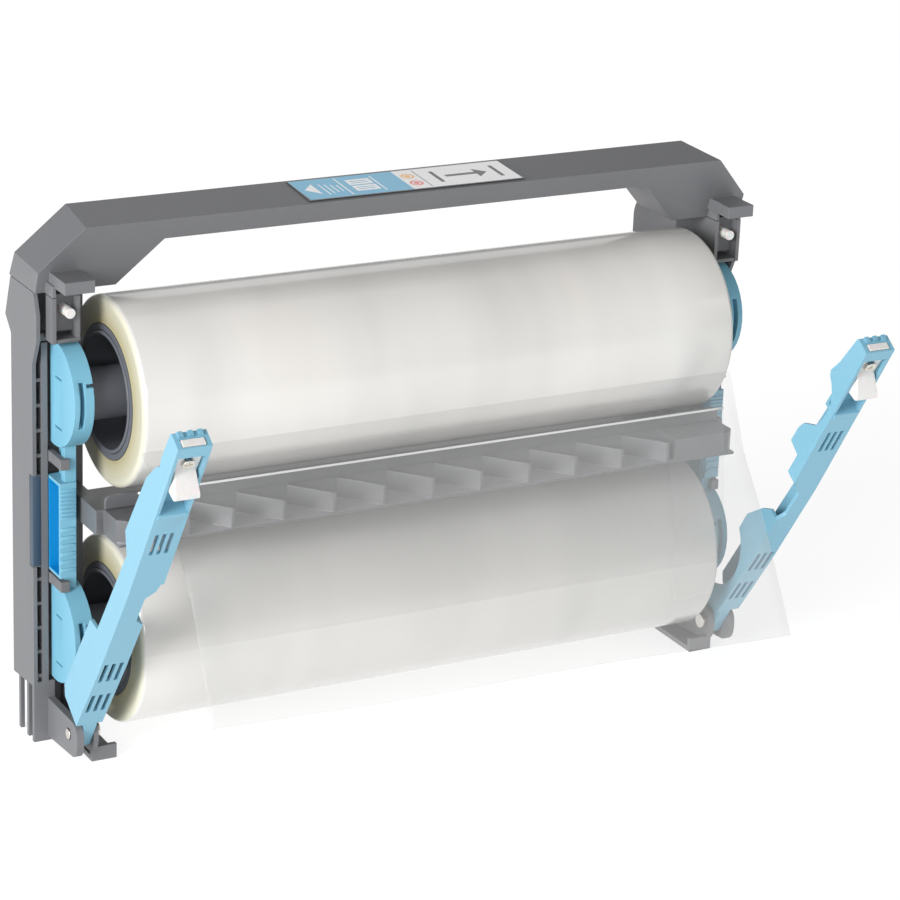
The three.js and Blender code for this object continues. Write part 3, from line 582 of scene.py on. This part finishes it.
def smoothLine(points, share):
    # a point on a soft curve through the given points, share 0 to 1 by length
    steps = [math.dist(a, b) for a, b in zip(points, points[1:])]
    goal, index = share * sum(steps), 0
    while index < len(steps) - 1 and goal > steps[index]:
        goal -= steps[index]
        index += 1
    t = goal / steps[index]
    a, b, c, d = (points[max(0, min(len(points) - 1, index + k))] for k in (-1, 0, 1, 2))
    return [0.5 * (2 * q + (r - p) * t + (2 * p - 5 * q + 4 * r - s) * t * t + (3 * q - p - 3 * r + s) * t ** 3)
            for p, q, r, s in zip(a, b, c, d)]


def filmSheet(name, node, material, shape):
    bm = bmesh.new()
    bmesh.ops.create_grid(bm, x_segments=film["across"], y_segments=shape["along"], size=1)
    for vert in bm.verts:
        share, across = (1 - vert.co.y) / 2, (vert.co.x + 1) / 2
        left, right = smoothLine(shape["left"], share), smoothLine(shape["right"], share)
        y, z = (a + (b - a) * across for a, b in zip(left, right))
        ripple = shape["wave"] * mm * share * math.sin(share * film["wavesDown"])
        ripple *= math.sin(across * film["wavesAcross"] + share * film["wavesSlant"])
        vert.co = (vert.co.x * rollHalf, y * mm + originY + ripple, z * mm + ripple * film["lift"])
    bmesh.ops.recalc_face_normals(bm, faces=bm.faces)
    piece = meshObject(name, bm, material)
    smooth(piece, 60)
    solid = piece.modifiers.new("thickness", "SOLIDIFY")
    solid.thickness = film["thick"]
    solid.offset = 0
    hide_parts(node)
    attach(piece, "frame")
    return piece


tail = filmSheet("filmTail", "film_tail", tailFinish, tailShape)
web = filmSheet("filmWeb", "film_web", webFinish, webShape)
print("loose film ready")


# grip ribs: a fine row down from the grip's top and a wide row up from its foot
ribs = {"proud": 0.7 * mm, "root": 0.6 * mm, "inner": 3.4 * mm, "outer": 0.4 * mm, "round": 0.2 * mm,
        "fine": {"count": 8, "start": grip["high"] - 3.4 * mm, "pitch": -1.9 * mm, "half": 0.45 * mm},
        "wide": {"count": 6, "start": grip["low"] + 4.2 * mm, "pitch": 3.9 * mm, "half": 0.9 * mm}}
# a dark block for a recessed wall behind the post's front edge; its colour is painted shade with a painted blue
# reflection of the carrier
shadeReflectionPanel = {"inner": 4.0 * mm, "outer": 0.1 * mm, "front": axisY + 11.2 * mm, "back": axisY + 15.1 * mm,
              "low": middleZ - 26.6 * mm, "high": middleZ + 17.1 * mm, "round": 0.3 * mm}


def placedBlock(bm, low, high, width):
    # one box between two corners, its edges rounded
    size = Vector(high) - Vector(low)
    middle = (Vector(high) + Vector(low)) / 2
    made = bmesh.ops.create_cube(bm, size=1, matrix=Matrix.Translation(middle) @ Matrix.Diagonal((*size, 1)))
    edges = {edge for vert in made["verts"] for edge in vert.link_edges}
    bmesh.ops.bevel(bm, geom=list(edges), offset=width, segments=2, affect="EDGES", profile=0.5, material=-1)


def mirrored(side, x0, x1):
    # a span given for the right side, on either side
    sign = 1 if side == "right" else -1
    return sorted((sign * x0, sign * x1))


def framePiece(name, bm, material):
    piece = meshObject(name, bm, material)
    smooth(piece)
    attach(piece, "frame")


def gripRibs(side):
    low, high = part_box("roll_carrier_right")
    x0, x1 = mirrored(side, low.x + ribs["inner"], high.x - ribs["outer"])
    y0, y1 = grip["front"] - ribs["proud"], grip["front"] + ribs["root"]
    bm = bmesh.new()
    for row in (ribs["fine"], ribs["wide"]):
        for i in range(row["count"]):
            z = row["start"] + i * row["pitch"]
            placedBlock(bm, (x0, y0, z - row["half"]), (x1, y1, z + row["half"]), ribs["round"])
    framePiece(f"grip_ribs_{side}", bm, carrierBlue)


# a block coloured as painted shade and a painted blue reflection
def shadeReflectionInsert(side):
    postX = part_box("side_post_right")[1].x
    x0, x1 = mirrored(side, postX - shadeReflectionPanel["inner"], postX - shadeReflectionPanel["outer"])
    bm = bmesh.new()
    placedBlock(bm, (x0, shadeReflectionPanel["front"], shadeReflectionPanel["low"]), (x1, shadeReflectionPanel["back"], shadeReflectionPanel["high"]),
                shadeReflectionPanel["round"])
    framePiece(f"shade_reflection_panel_{side}", bm, shadeReflectionFinish)


for side in sides:
    gripRibs(side)
    shadeReflectionInsert(side)
print("side pieces ready")
